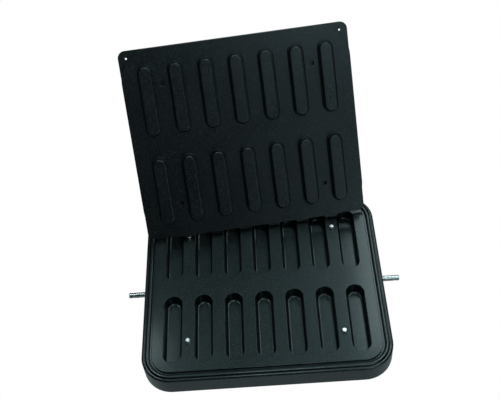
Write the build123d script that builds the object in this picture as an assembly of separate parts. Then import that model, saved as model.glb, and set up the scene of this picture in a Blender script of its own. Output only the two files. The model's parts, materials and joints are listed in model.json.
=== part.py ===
from build123d import *
import os

# Pair of interchangeable moulding plates for a countertop press that shapes and bakes
# finger-shaped pastry shells, seven columns by two rows.
#
# The lower plate lies flat and holds the cavities. The upper plate carries one punch for each
# cavity and stands tilted back behind it, as the press holds it open. Millimetres, +Z up, +Y to
# the back, origin at the middle of the lower plate's underside.

# ---- pattern shared by both plates ----
columns = 7
cavity_length = 108.0
cavity_width = 26.0
column_web = 18.0  # flat strip between two columns
row_web = 30.0  # flat strip between the two rows
pin_off_row = 22.2  # a locating pin stands this far outside its row's middle line

# ---- lower plate ----
field_margin_x = 16.4  # flat strip outside the cavities
field_margin_y = 14.7
field_corner_r = 28.0
lower_thickness = 32.0
inner_groove_w = 2.3
bead_w = 7.0
outer_groove_w = 1.0
lip_w = 3.6
groove_depth = 3.2
bead_round_r = 3.0
lip_drop = 0.6  # the lip stands this much below the flat field
lip_round_r = 3.0
underside_round_r = 1.0
pin_hole_depth = 16.0
rod_hole_depth = 24.0

# ---- cavities ----
cavity_depth = 16.5
cavity_draft = 6.0
cavity_floor_r = 3.5
cavity_mouth_r = 0.7

# ---- locating pins and side rods ----
pin_d = 7.0
pin_stand = 4.5  # height above the flat field
pin_chamfer = 0.9
press_gap = 0.02  # radial, between a pressed-in pin or rod and its hole
rod_d = 8.0
rod_below_field = 12.6  # from the flat field down to the rod's middle line
rod_stand = 25.0  # from the side wall to the tip
rod_spigot_d = 6.0
rod_spigot_length = 23.0
rod_groove_w = 1.5
rod_groove_depth = 0.7
rod_groove_from_tip = 6.0
rod_chamfer = 0.7
rod_socket_flats = 4.0
rod_socket_depth = 4.0

# ---- upper plate: backing sheet and punch carrier ----
upper_margin_x = 6.7  # the sheet reaches this much past the lower plate's flat field
upper_margin_y = 6.6
sheet_thickness = 4.0
sheet_corner_r = 10.5
carrier_thickness = 6.0
carrier_corner_r = 48.0
carrier_edge_r = 0.6
sheet_edge_r = 0.5
ear_hole_d = 3.2
ear_hole_inset = 11.5
guide_gap = 0.2  # radial, between a locating pin and its guide hole
guide_hole_edge_r = 0.5
pry_notch_w = 11.0
pry_notch_l = 8.5
pry_notch_depth = 1.0

# ---- punches ----
punch_side_gap = 3.2  # room for dough between a punch and its cavity
punch_end_gap = 3.0
punch_height = 10.5
punch_draft = 5.0
punch_round_r = 1.6
punch_foot_w = 0.9
punch_foot_h = 0.8

# ---- punch screws, countersunk from the back ----
screws_per_punch = 2
screw_pitch = 72.0
screw_d = 5.0
screw_head_d = 9.6
screw_sink = 0.2  # head top below the back of the sheet
screw_in_punch = 6.5
screw_hole_gap = 0.05
screw_pass_gap = 0.3
screw_cone_gap = 0.05
screw_socket_flats = 3.0
screw_socket_depth = 2.0
tapped_hole_extra = 1.0

# ---- place of the tilted-back upper plate: middle of its front face's lower edge ----
heel_x = -3.8
heel_behind_pins = 6.3
heel_lift = 9.9  # above the flat field
lean_tilt = 55.5
lean_yaw = 5.3

column_pitch = cavity_width + column_web
row_pitch = cavity_length + row_web
field_x = columns * column_pitch - column_web + 2 * field_margin_x
field_y = row_pitch + cavity_length + 2 * field_margin_y
rim_w = inner_groove_w + bead_w + outer_groove_w + lip_w
lower_x = field_x + 2 * rim_w
lower_y = field_y + 2 * rim_w
upper_x = field_x + 2 * upper_margin_x
upper_y = field_y + 2 * upper_margin_y
rod_z = lower_thickness - rod_below_field
pin_offset_x = (columns - 2) * column_pitch / 2  # between the outer two columns
pin_offset_y = row_pitch / 2 + pin_off_row
guide_hole_d = pin_d + 2 * guide_gap
punch_length = cavity_length - 2 * punch_end_gap
punch_width = cavity_width - 2 * punch_side_gap
column_xs = [(i - (columns - 1) / 2) * column_pitch for i in range(columns)]
row_ys = {"front": -row_pitch / 2, "rear": row_pitch / 2}
pin_places = {
    "front_left": (-pin_offset_x, -pin_offset_y),
    "front_right": (pin_offset_x, -pin_offset_y),
    "rear_left": (-pin_offset_x, pin_offset_y),
    "rear_right": (pin_offset_x, pin_offset_y),
}
heel = Pos(heel_x, pin_offset_y + heel_behind_pins, lower_thickness + heel_lift)
lean = heel * Rot(0, 0, lean_yaw) * Rot(lean_tilt, 0, 0) * Pos(0, upper_y / 2, 0)


def rounded_block(size_x, size_y, corner_r, bottom, top):
    """Upright block with rounded corners between two heights."""
    return Pos(0, 0, bottom) * extrude(RectangleRounded(size_x, size_y, corner_r), amount=top - bottom)


def slot_block(length, width, height, draft=0.0):
    """Oblong with full-round ends along Y, standing on z = 0 and narrowing upwards."""
    return extrude(Rot(0, 0, 90) * SlotOverall(length, width), amount=height, taper=draft)


def round_bar(diameter, bottom, top):
    """Upright round bar between two heights."""
    return Pos(0, 0, bottom) * extrude(Circle(diameter / 2), amount=top - bottom)


def hex_socket(flats, depth):
    """Hexagonal recess, opening at z = 0 and going down."""
    return extrude(RegularPolygon(flats / 2, 6, major_radius=False), amount=-depth)


def edges_at(solid, height, curve_type=None):
    """Edges that lie flat at one height."""
    found = [e for e in solid.edges() if abs(e.center().Z - height) < 1e-4
             and abs(e.bounding_box().size.Z) < 1e-4]
    return found if curve_type is None else [e for e in found if e.geom_type == curve_type]


def make_bead():
    """Rounded ridge that runs round the flat field, between its two grooves."""
    inner = 2 * inner_groove_w
    outer = inner + 2 * bead_w
    foot = lower_thickness - groove_depth
    ring = rounded_block(field_x + outer, field_y + outer,
                         field_corner_r + outer / 2, foot, lower_thickness)
    ring -= rounded_block(field_x + inner, field_y + inner,
                          field_corner_r + inner / 2, foot, lower_thickness)
    return fillet(edges_at(ring, lower_thickness), bead_round_r)


def make_cavity():
    """One cavity as a solid, its mouth at z = 0."""
    body = Rot(180, 0, 0) * slot_block(cavity_length, cavity_width, cavity_depth, cavity_draft)
    return fillet(edges_at(body, -cavity_depth), cavity_floor_r)


def make_lower_plate():
    """Slab with the cavities, the grooved rim, four pin holes and two rod holes."""
    slab_top = lower_thickness - lip_drop
    plate = rounded_block(lower_x, lower_y, field_corner_r + rim_w, 0, slab_top)
    plate = fillet(edges_at(plate, 0), underside_round_r)
    plate = fillet(edges_at(plate, slab_top), lip_round_r)
    groove_reach = 2 * (rim_w - lip_w)
    plate -= rounded_block(field_x + groove_reach, field_y + groove_reach,
                           field_corner_r + groove_reach / 2,
                           lower_thickness - groove_depth, lower_thickness)
    plate += rounded_block(field_x, field_y, field_corner_r,
                           lower_thickness - groove_depth, lower_thickness)
    plate += make_bead()
    cavity = make_cavity()
    for x in column_xs:
        for y in row_ys.values():
            plate -= Pos(x, y, lower_thickness) * cavity
    mouths = [e for e in edges_at(plate, lower_thickness)
              if abs(e.center().X) < field_x / 2 - 1 and abs(e.center().Y) < field_y / 2 - 1]
    plate = fillet(mouths, cavity_mouth_r)
    for x, y in pin_places.values():
        plate -= Pos(x, y, 0) * round_bar(pin_d + 2 * press_gap,
                                          lower_thickness - pin_hole_depth, lower_thickness)
    for side in (-1, 1):
        hole = round_bar(rod_spigot_d + 2 * press_gap, -rod_hole_depth, rod_hole_depth)
        plate -= Pos(side * lower_x / 2, 0, rod_z) * Rot(0, 90, 0) * hole
    return plate


def make_locating_pin():
    """Ground steel pin, chamfered at both ends, standing on the floor of its hole."""
    bottom = lower_thickness - pin_hole_depth
    top = lower_thickness + pin_stand
    pin = round_bar(pin_d, bottom, top)
    pin = chamfer(edges_at(pin, top), pin_chamfer)
    return chamfer(edges_at(pin, bottom), pin_chamfer / 2)


def make_side_rod():
    """Right-hand rod along +X: spigot in the plate, shoulder on its side wall, grooved tip."""
    rod = chamfer(edges_at(round_bar(rod_d, 0, rod_stand), rod_stand), rod_chamfer)
    groove_top = rod_stand - rod_groove_from_tip
    ring = round_bar(rod_d, groove_top - rod_groove_w, groove_top)
    rod -= ring - round_bar(rod_d - 2 * rod_groove_depth, groove_top - rod_groove_w, groove_top)
    rod -= Pos(0, 0, rod_stand) * hex_socket(rod_socket_flats, rod_socket_depth)
    rod += round_bar(rod_spigot_d, -rod_spigot_length, 0)
    return Pos(lower_x / 2, 0, rod_z) * Rot(0, 90, 0) * rod


def screw_places():
    """Middle of each screw in the upper plate's own plane."""
    spots = []
    for y in row_ys.values():
        for x in column_xs:
            for i in range(screws_per_punch):
                spots.append((x, y + (i - (screws_per_punch - 1) / 2) * screw_pitch))
    return spots


def make_backing_sheet():
    """Thin rear sheet whose corners stand out as ears, each with a small hole."""
    back = -carrier_thickness - sheet_thickness
    sheet = rounded_block(upper_x, upper_y, sheet_corner_r, back, -carrier_thickness)
    sheet = fillet(edges_at(sheet, back), sheet_edge_r)
    hole_x = upper_x / 2 - ear_hole_inset
    hole_y = upper_y / 2 - ear_hole_inset
    for x in (-hole_x, hole_x):
        for y in (-hole_y, hole_y):
            sheet -= Pos(x, y, 0) * round_bar(ear_hole_d, back, -carrier_thickness)
    pass_r = screw_d / 2 + screw_pass_gap
    head_r = screw_head_d / 2 + screw_cone_gap
    sink = head_r - pass_r
    for x, y in screw_places():
        sheet -= Pos(x, y, 0) * round_bar(2 * pass_r, back, -carrier_thickness)
        sheet -= Pos(x, y, 0) * round_bar(2 * head_r, back, back + screw_sink)
        sheet -= Pos(x, y, back + screw_sink + sink / 2) * Cone(head_r, pass_r, sink)
    return sheet


def make_punch_carrier():
    """Front plate under the punches: guide holes for the pins, which the sheet closes behind, and
    two shallow pry notches in its long edges."""
    carrier = rounded_block(upper_x, upper_y, carrier_corner_r, -carrier_thickness, 0)
    carrier = fillet(edges_at(carrier, 0), carrier_edge_r)
    for side in (-1, 1):
        carrier -= Pos(pin_offset_x, side * (upper_y / 2 - pry_notch_l / 2), -pry_notch_depth / 2) * Box(
            pry_notch_w, pry_notch_l, pry_notch_depth)
    for x, y in pin_places.values():
        carrier -= Pos(x, y, 0) * round_bar(guide_hole_d, -carrier_thickness, 0)
    rims = [e for e in edges_at(carrier, 0, GeomType.CIRCLE) if abs(e.radius - guide_hole_d / 2) < 1e-3]
    carrier = fillet(rims, guide_hole_edge_r)
    for x, y in screw_places():
        carrier -= Pos(x, y, 0) * round_bar(screw_d + 2 * screw_pass_gap, -carrier_thickness, 0)
    return carrier


def make_punch():
    """One punch on z = 0: narrow foot, drafted sides, rounded top and tapped holes beneath."""
    punch = slot_block(punch_length, punch_width, punch_height, punch_draft)
    punch = fillet(edges_at(punch, punch_height), punch_round_r)
    foot = slot_block(punch_length + 2 * punch_foot_w, punch_width + 2 * punch_foot_w, punch_foot_h)
    punch += fillet(edges_at(foot, punch_foot_h), punch_foot_h / 2)
    for i in range(screws_per_punch):
        y = (i - (screws_per_punch - 1) / 2) * screw_pitch
        punch -= Pos(0, y, 0) * round_bar(screw_d + 2 * screw_hole_gap,
                                          0, screw_in_punch + tapped_hole_extra)
    return punch


def make_punch_screw():
    """Countersunk socket screw, head down at the back of the sheet."""
    back = -carrier_thickness - sheet_thickness + screw_sink
    cone_h = (screw_head_d - screw_d) / 2
    screw = Pos(0, 0, back + cone_h / 2) * Cone(screw_head_d / 2, screw_d / 2, cone_h)
    screw += round_bar(screw_d, back + cone_h, screw_in_punch)
    return screw - Pos(0, 0, back) * Rot(180, 0, 0) * hex_socket(screw_socket_flats, screw_socket_depth)


nodes = {"lower_plate": make_lower_plate()}
pin = make_locating_pin()
for name, (x, y) in pin_places.items():
    nodes[f"locating_pin_{name}"] = Pos(x, y, 0) * pin
rod = make_side_rod()
nodes["side_rod_right"] = rod
nodes["side_rod_left"] = Rot(0, 0, 180) * rod
nodes["backing_sheet"] = lean * make_backing_sheet()
nodes["punch_carrier"] = lean * make_punch_carrier()
punch = make_punch()
for row, y in row_ys.items():
    for i, x in enumerate(column_xs):
        nodes[f"punch_{row}_{i + 1}"] = lean * Pos(x, y, 0) * punch
screw = make_punch_screw()
nodes["punch_screws"] = Compound(children=[lean * Pos(x, y, 0) * screw for x, y in screw_places()])

os.makedirs("parts", exist_ok=True)
for name, shape in nodes.items():
    export_step(shape, f"parts/{name}.step")
    print(name, round(shape.volume))
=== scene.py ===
import json
import math

import bpy
import numpy as np
from mathutils import Matrix, Vector


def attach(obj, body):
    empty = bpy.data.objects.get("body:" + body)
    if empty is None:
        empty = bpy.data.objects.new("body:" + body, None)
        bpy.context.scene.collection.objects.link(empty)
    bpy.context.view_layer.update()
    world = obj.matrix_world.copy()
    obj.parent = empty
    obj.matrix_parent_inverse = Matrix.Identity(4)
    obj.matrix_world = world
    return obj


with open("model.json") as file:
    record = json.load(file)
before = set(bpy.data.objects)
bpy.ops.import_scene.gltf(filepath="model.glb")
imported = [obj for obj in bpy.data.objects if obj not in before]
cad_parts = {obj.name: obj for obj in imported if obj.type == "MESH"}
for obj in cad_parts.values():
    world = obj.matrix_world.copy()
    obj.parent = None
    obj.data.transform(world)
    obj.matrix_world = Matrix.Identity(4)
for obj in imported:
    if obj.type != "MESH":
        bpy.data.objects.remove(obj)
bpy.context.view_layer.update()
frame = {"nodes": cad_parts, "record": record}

scene = bpy.context.scene

# ---- Lower plate ----
# The cavity plate is milled from one block of aluminium, rim grooves and bead included. It is
# blasted, sprayed all over with a black non-stick coating and baked, which leaves a fine grain,
# a slight orange peel and small pale flecks under a smoother clear film.

blue_green = (0.74, 0.98, 1.0, 1.0)  # hue of the lower plate's gloss
grain_size = 0.0020  # all sizes are in metres
grain_height = 0.00025
peel_size = 0.0048
peel_height = 0.0001
patch_size = 0.07
fleck_size = 0.0024
fleck_core = 0.16  # a fleck is at its palest this far from its middle, in fleck sizes
fleck_edge = 0.42  # and has faded out this far from it
fleck_colour = (0.028, 0.034, 0.034)
film_share = 0.35
film_dullness = 0.13


def add(tree, kind, inputs=None):
    """Adds a shader node. Each named input takes a plain value, or a socket to be linked to it."""
    node = tree.nodes.new("ShaderNode" + kind)
    for name, value in (inputs or {}).items():
        if isinstance(value, bpy.types.NodeSocket):
            tree.links.new(value, node.inputs[name])
        else:
            node.inputs[name].default_value = value
    return node


def math_node(tree, operation, first, second):
    """One Math node on two values or sockets."""
    node = tree.nodes.new("ShaderNodeMath")
    node.operation = operation
    for socket, value in zip(node.inputs, (first, second)):
        if isinstance(value, bpy.types.NodeSocket):
            tree.links.new(value, socket)
        else:
            socket.default_value = value
    return node.outputs[0]


def colour_mix(tree, share, first, second):
    """Colour that goes from first to second as share goes from 0 to 1."""
    node = tree.nodes.new("ShaderNodeMix")
    node.data_type = "RGBA"
    tree.links.new(share, node.inputs[0])
    for socket, value in ((node.inputs[6], first), (node.inputs[7], second)):
        if isinstance(value, bpy.types.NodeSocket):
            tree.links.new(value, socket)
        else:
            socket.default_value = (*value, 1.0)
    return node.outputs[2]


def spread(tree, value, low, high, to_low, to_high):
    """Map Range from low..high to to_low..to_high, clamped."""
    return add(tree, "MapRange", {"Value": value, "From Min": low, "From Max": high,
                                  "To Min": to_low, "To Max": to_high}).outputs["Result"]


def coating(name, dark, pale, hue, dullness, level, fleck_share, middle=None, turn=None):
    """Baked black coating. Its height is a fine grain plus a wider orange peel. A slow noise shifts
    tone and gloss from patch to patch, and fleck_share of the Voronoi cells hold a pale fleck. The
    upper plate's coatings lie along its own axes, given by its middle and turn."""
    material = bpy.data.materials.new(name)
    material.use_nodes = True
    tree = material.node_tree
    skin = tree.nodes["Principled BSDF"]
    spot = add(tree, "TexCoord").outputs["Object"]
    if middle is not None:
        lean = add(tree, "Mapping", {"Vector": spot, "Location": middle, "Rotation": turn})
        lean.vector_type = "TEXTURE"
        spot = lean.outputs["Vector"]
    grain = add(tree, "TexNoise", {"Vector": spot, "Scale": 1 / grain_size, "Detail": 2.0,
                                   "Roughness": 0.6}).outputs["Fac"]
    peel = add(tree, "TexNoise", {"Vector": spot, "Scale": 1 / peel_size, "Detail": 1.0}).outputs["Fac"]
    patch = add(tree, "TexNoise", {"Vector": spot, "Scale": 1 / patch_size, "Detail": 4.0,
                                   "Roughness": 0.62}).outputs["Fac"]
    cells = add(tree, "TexVoronoi", {"Vector": spot, "Scale": 1 / fleck_size})
    pick = add(tree, "SeparateColor", {"Color": cells.outputs["Color"]}).outputs["Red"]
    chosen = math_node(tree, "LESS_THAN", pick, fleck_share)
    dot = spread(tree, cells.outputs["Distance"], fleck_core, fleck_edge, 1.0, 0.0)
    fleck = math_node(tree, "MULTIPLY", chosen, dot)
    tone = colour_mix(tree, spread(tree, patch, 0.32, 0.68, 0.0, 1.0), dark, pale)
    tree.links.new(colour_mix(tree, fleck, tone, fleck_colour), skin.inputs["Base Color"])
    rough = math_node(tree, "ADD", spread(tree, patch, 0.3, 0.7, dullness - 0.03, dullness + 0.03),
                      spread(tree, grain, 0.3, 0.7, -0.1, 0.1))
    tree.links.new(rough, skin.inputs["Roughness"])
    peel_bump = add(tree, "Bump", {"Height": peel, "Strength": 0.5, "Distance": peel_height})
    grain_bump = add(tree, "Bump", {"Height": grain, "Strength": 1.0, "Distance": grain_height,
                                    "Normal": peel_bump.outputs["Normal"]})
    tree.links.new(grain_bump.outputs["Normal"], skin.inputs["Normal"])
    skin.inputs["Specular IOR Level"].default_value = level
    skin.inputs["Specular Tint"].default_value = hue
    return material


def dress(nodes, material):
    """Gives every named CAD node this material."""
    for node in nodes:
        for slot in frame["nodes"][node].material_slots:
            slot.material = material


lower_coating = coating("lower plate coating", (0.0010, 0.0016, 0.0018), (0.0030, 0.0046, 0.0050),
                        hue=blue_green, dullness=0.38, level=0.34, fleck_share=0.6)
lower_skin = lower_coating.node_tree.nodes["Principled BSDF"]
lower_skin.inputs["Coat Weight"].default_value = film_share
lower_skin.inputs["Coat Roughness"].default_value = film_dullness
dress(["lower_plate"], lower_coating)

# ---- Locating pins ----
# Four ground steel pins, pressed into the lower plate, centre the upper plate as the press closes.
# They are bare stainless steel, with fine grinding rings down their length and a few dull stains.

pins = [node for node in frame["nodes"] if node.startswith("locating_pin")]
stain_scale = 420.0
mark_height = 0.00003


def bare_steel(name, low, high, dullness, ring_scale, ring_axis):
    """Machined steel: fine tool marks, quick along ring_axis and slow across it, vary the gloss,
    the tone and the height of the surface. A second noise darkens it where it is stained."""
    material = bpy.data.materials.new(name)
    material.use_nodes = True
    tree = material.node_tree
    skin = tree.nodes["Principled BSDF"]
    stretch = [ring_scale if axis == ring_axis else ring_scale / 25 for axis in "XYZ"]
    spot = add(tree, "Mapping", {"Vector": add(tree, "TexCoord").outputs["Object"],
                                 "Scale": stretch}).outputs["Vector"]
    marks = add(tree, "TexNoise", {"Vector": spot, "Scale": 1.0, "Detail": 3.0}).outputs["Fac"]
    stain = add(tree, "TexNoise", {"Vector": add(tree, "TexCoord").outputs["Object"],
                                   "Scale": stain_scale, "Detail": 3.0}).outputs["Fac"]
    tone = colour_mix(tree, spread(tree, marks, 0.35, 0.65, 0.0, 1.0), low, high)
    dull = tuple(0.55 * value for value in low)
    tree.links.new(colour_mix(tree, spread(tree, stain, 0.56, 0.72, 0.0, 1.0), tone, dull),
                   skin.inputs["Base Color"])
    tree.links.new(spread(tree, marks, 0.3, 0.7, dullness - 0.07, dullness + 0.07),
                   skin.inputs["Roughness"])
    ridges = add(tree, "Bump", {"Height": marks, "Strength": 0.4, "Distance": mark_height})
    tree.links.new(ridges.outputs["Normal"], skin.inputs["Normal"])
    skin.inputs["Metallic"].default_value = 1.0
    return material


dress(pins, bare_steel("ground pin steel", (0.72, 0.75, 0.76), (0.92, 0.95, 0.95), dullness=0.34,
                       ring_scale=2600.0, ring_axis="Z"))

# ---- Side rods ----
# Two turned steel rods screw into the plate's side walls, a little above half height, for the
# press's lifting fork. Each has a clip groove near its tip, a hexagon socket, and turning marks.

dress(["side_rod_left", "side_rod_right"],
      bare_steel("turned rod steel", (0.24, 0.255, 0.26), (0.6, 0.63, 0.64), dullness=0.26,
                 ring_scale=2200.0, ring_axis="X"))

# ---- Backing sheet ----
# The upper plate's rear sheet is plain rolled aluminium with the same coating, sprayed thinner. It
# reaches past the punch carrier at the corners as four ears, each with a small screw hole.

mounts = {mount["name"]: mount for mount in frame["record"]["mounts"]}
ear_low_left = Vector(mounts["ear_hole_bottom_left"]["pos_m"])
ear_low_right = Vector(mounts["ear_hole_bottom_right"]["pos_m"])
ear_high_left = Vector(mounts["ear_hole_top_left"]["pos_m"])
ear_high_right = Vector(mounts["ear_hole_top_right"]["pos_m"])
plate_right = (ear_low_right - ear_low_left).normalized()
plate_out = Vector(mounts["ear_hole_top_left"]["axis"]).normalized()
plate_up = plate_out.cross(plate_right)
plate_axes = Matrix((plate_right, plate_up, plate_out)).transposed()
plate_middle = (ear_low_left + ear_low_right + ear_high_left + ear_high_right) / 4
plate_turn = plate_axes.to_euler()

blue_black = (0.80, 0.95, 1.0, 1.0)  # the upper plate's gloss is a touch bluer
deep_black = (0.0008, 0.0012, 0.0018)
worn_black = (0.0020, 0.0030, 0.0038)
dress(["backing_sheet"], coating("backing sheet coating", deep_black, worn_black, hue=blue_black,
                                 dullness=0.37, level=0.5, fleck_share=0.25,
                                 middle=plate_middle, turn=plate_turn))

# ---- Punch carrier ----
# A second aluminium plate lies on the sheet and carries the punches. Its corners are cut round, its
# four guide holes take the locating pins, and two shallow notches let a bar pry the plates apart.

dress(["punch_carrier"], coating("carrier coating", deep_black, worn_black, hue=blue_black,
                                 dullness=0.36, level=0.5, fleck_share=0.25,
                                 middle=plate_middle, turn=plate_turn))

# ---- Punches ----
# Fourteen oblong aluminium punches press the dough up the cavity walls. They are screwed to the
# carrier and sprayed with it, and the spray pooled into a duller concave cove round each foot. The
# cove's coating has a low gloss level, which paints shade into the crease round each foot.

punches = [node for node in frame["nodes"] if node.startswith(("punch_front", "punch_rear"))]
cove_reach = 0.0014  # out from the foot, over the carrier
cove_rise = 0.0009  # up the foot's wall
cove_sink = 0.0001  # hidden below the carrier's face and behind the foot's wall
cove_steps = 8
end_steps = 32
punch_coating = coating("punch coating", (0.0010, 0.0016, 0.0022), (0.0026, 0.0038, 0.0046),
                        hue=blue_black, dullness=0.35, level=0.54, fleck_share=0.3,
                        middle=plate_middle, turn=plate_turn)
dress(punches, punch_coating)
# Painted shade: this coating's low gloss level darkens the cove round each punch foot, standing in for
# the shade in that crease.
pooled_coating_and_painted_shade = coating("pooled coating and painted shade", deep_black, worn_black, hue=blue_black,
                         dullness=0.5, level=0.2, fleck_share=0.0,
                         middle=plate_middle, turn=plate_turn)


def plate_points(node):
    """Corners of a CAD node along the upper plate's own right, up and outward axes."""
    data = frame["nodes"][node].data
    points = np.empty(len(data.vertices) * 3, np.float32)
    data.vertices.foreach_get("co", points)
    return (points.reshape(-1, 3) - np.array(plate_middle)) @ np.array(plate_axes)


def oblong(half_width, half_length):
    """Outline with full-round ends as places and outward directions: (w cos t, w sin t) for t once
    round, with the upper half moved up and the lower half down by half_length - half_width."""
    upper = np.linspace(0, np.pi, end_steps + 1)
    turn = np.concatenate([upper, upper + np.pi])
    out = np.stack([np.cos(turn), np.sin(turn)], 1)
    shift = np.repeat([1.0, -1.0], end_steps + 1) * (half_length - half_width)
    places = half_width * out
    places[:, 1] += shift
    return places, out


def ring_mesh(name, places, out, reach, height, centre, face_height):
    """Closed ring: profile points (reach, height) carried along the outline, each pushed outwards by
    its reach and lifted by its height above the carrier's face."""
    flat = places[:, None, :] + out[:, None, :] * reach[None, :, None]
    local = np.empty((len(places), len(reach), 3))
    local[..., :2] = flat + centre
    local[..., 2] = face_height + height
    points = local.reshape(-1, 3) @ np.array(plate_axes).T + np.array(plate_middle)
    along, around = np.meshgrid(np.arange(len(places)), np.arange(len(reach)), indexing="ij")
    next_along = (along + 1) % len(places)
    next_around = (around + 1) % len(reach)
    index = [a * len(reach) + b for a, b in ((along, around), (next_along, around),
                                             (next_along, next_around), (along, next_around))]
    faces = np.stack(index, -1).reshape(-1, 4)
    mesh = bpy.data.meshes.new(name)
    mesh.from_pydata(points.tolist(), [], faces.tolist())
    mesh.shade_smooth()
    piece = bpy.data.objects.new(name, mesh)
    scene.collection.objects.link(piece)
    return piece


# The cove's profile is a quarter ellipse, hollow side outwards, closed behind by three hidden points.
quarter = np.linspace(0, np.pi / 2, cove_steps + 1)
cove_out = np.concatenate([cove_reach * (1 - np.sin(quarter)), [-cove_sink, -cove_sink, cove_reach]])
cove_up = np.concatenate([cove_rise * (1 - np.cos(quarter)), [cove_rise, -cove_sink, -cove_sink]])
carrier_face = plate_points("punch_carrier")[:, 2].max()
for node in punches:
    corners = plate_points(node)
    low, high = corners.min(0), corners.max(0)
    half_width, half_length = (high - low)[:2] / 2
    places, out = oblong(half_width, half_length)
    cove = ring_mesh(node + "_cove", places, out, cove_out, cove_up, ((low + high) / 2)[:2],
                     carrier_face)
    # The cove wears the coating whose low gloss paints shade round the foot.
    cove.data.materials.append(pooled_coating_and_painted_shade)
    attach(cove, "upper_half")

# ---- Punch screws ----
# Two countersunk steel screws hold each punch from the back, sunk just below the sheet. They are
# plain machined steel, a little darker than the pins from handling.

dress(["punch_screws"], bare_steel("screw steel", (0.36, 0.37, 0.38), (0.52, 0.54, 0.54), dullness=0.38,
                                   ring_scale=1800.0, ring_axis="Z"))

# ---- Studio: floor, lights and camera ----
# A white sweep under and behind the plates, a tall window-like box behind on the right that draws
# the gloss on the lower plate's right-hand strip, and soft boxes above, in front and at the sides.

plates_middle = Vector((0.0, 0.05, 0.05))
light_distance = 1.9  # from the middle of the plates
lamp_colour = (0.79, 0.97, 1.0)  # all the light in the room is a little blue-green
soft_boxes = {  # from the back towards the right, height angle, shift right, width, height, watts
    "window behind right": (0, 54, 0.48, 0.30, 0.78, 5.4),
    "right high": (60, 65, 0.0, 0.50, 0.50, 7.0),
    "right low": (60, 20, 0.0, 0.80, 0.80, 1.3),
    "front top": (180, 80, 0.0, 0.32, 0.32, 5.8),
    "left behind": (-60, 65, 0.0, 0.32, 0.32, 5.3),
    "left behind small": (-32, 60, 0.0, 0.14, 0.14, 0.5),
    "front right high": (150, 50, 0.0, 0.60, 0.60, 5.3),
    "front right low": (148, 9, 0.0, 0.80, 0.50, 4.1),
}
for name, (around, above, shift, width, height, watts) in soft_boxes.items():
    light = bpy.data.lights.new(name, "AREA")
    light.shape = "RECTANGLE"
    light.size = width
    light.size_y = height
    light.energy = watts
    light.color = lamp_colour
    turn = math.radians(around)
    rise = math.radians(above)
    away = Vector((math.sin(turn) * math.cos(rise), math.cos(turn) * math.cos(rise), math.sin(rise)))
    box = bpy.data.objects.new(name, light)
    box.location = plates_middle + away * light_distance + Vector((shift, 0.0, 0.0))
    box.rotation_euler = (-away).to_track_quat("-Z", "Y").to_euler()
    scene.collection.objects.link(box)

floor_reach = 9.0
floor_glow = 0.33  # how bright the sweep looks from the plates, where 1 is white
floor_mesh = bpy.data.meshes.new("floor")
floor_corners = [(-floor_reach, -floor_reach, 0), (floor_reach, -floor_reach, 0),
                 (floor_reach, floor_reach, 0), (-floor_reach, floor_reach, 0)]
floor_mesh.from_pydata(floor_corners, [], [(0, 1, 2, 3)])
floor = bpy.data.objects.new("floor", floor_mesh)
scene.collection.objects.link(floor)
floor_paint = bpy.data.materials.new("white sweep")
floor_paint.use_nodes = True
tree = floor_paint.node_tree
paint = tree.nodes["Principled BSDF"]
paint.inputs["Base Color"].default_value = (0.0, 0.0, 0.0, 1.0)
paint.inputs["Specular IOR Level"].default_value = 0.0
seen = add(tree, "LightPath").outputs["Is Camera Ray"]
tree.links.new(colour_mix(tree, seen, lamp_colour, (1.0, 1.0, 1.0)), paint.inputs["Emission Color"])
tree.links.new(spread(tree, seen, 0.0, 1.0, floor_glow, 1.0), paint.inputs["Emission Strength"])
floor_mesh.materials.append(floor_paint)

room_glow = 0.02  # the same for the rest of the room
world = bpy.data.worlds.new("studio")
scene.world = world
world.use_nodes = True
sky = world.node_tree.nodes["Background"]
sky.inputs["Color"].default_value = (1.0, 1.0, 1.0, 1.0)
seen = add(world.node_tree, "LightPath").outputs["Is Camera Ray"]
world.node_tree.links.new(spread(world.node_tree, seen, 0.0, 1.0, room_glow, 1.0),
                          sky.inputs["Strength"])

view_azimuth = math.radians(2.73)
view_elevation = math.radians(50.38)
view_roll = math.radians(-6.17)
view_target = Vector((-0.0136, 0.1579, 0.032))
view_distance = 1.309
view_back = Vector((math.sin(view_azimuth) * math.cos(view_elevation),
                    -math.cos(view_azimuth) * math.cos(view_elevation),
                    math.sin(view_elevation)))
level_right = Vector((math.cos(view_azimuth), math.sin(view_azimuth), 0.0))
view_right = level_right * math.cos(view_roll) + view_back.cross(level_right) * math.sin(view_roll)
view_up = view_back.cross(view_right)
camera = bpy.data.objects.new("camera", bpy.data.cameras.new("camera"))
camera.data.lens = 59.1
camera.data.sensor_width = 36.0
camera.matrix_world = Matrix.Translation(view_target + view_back * view_distance) @ Matrix(
    (view_right, view_up, view_back)).transposed().to_4x4()
scene.collection.objects.link(camera)
scene.camera = camera
scene.view_settings.view_transform = "Standard"
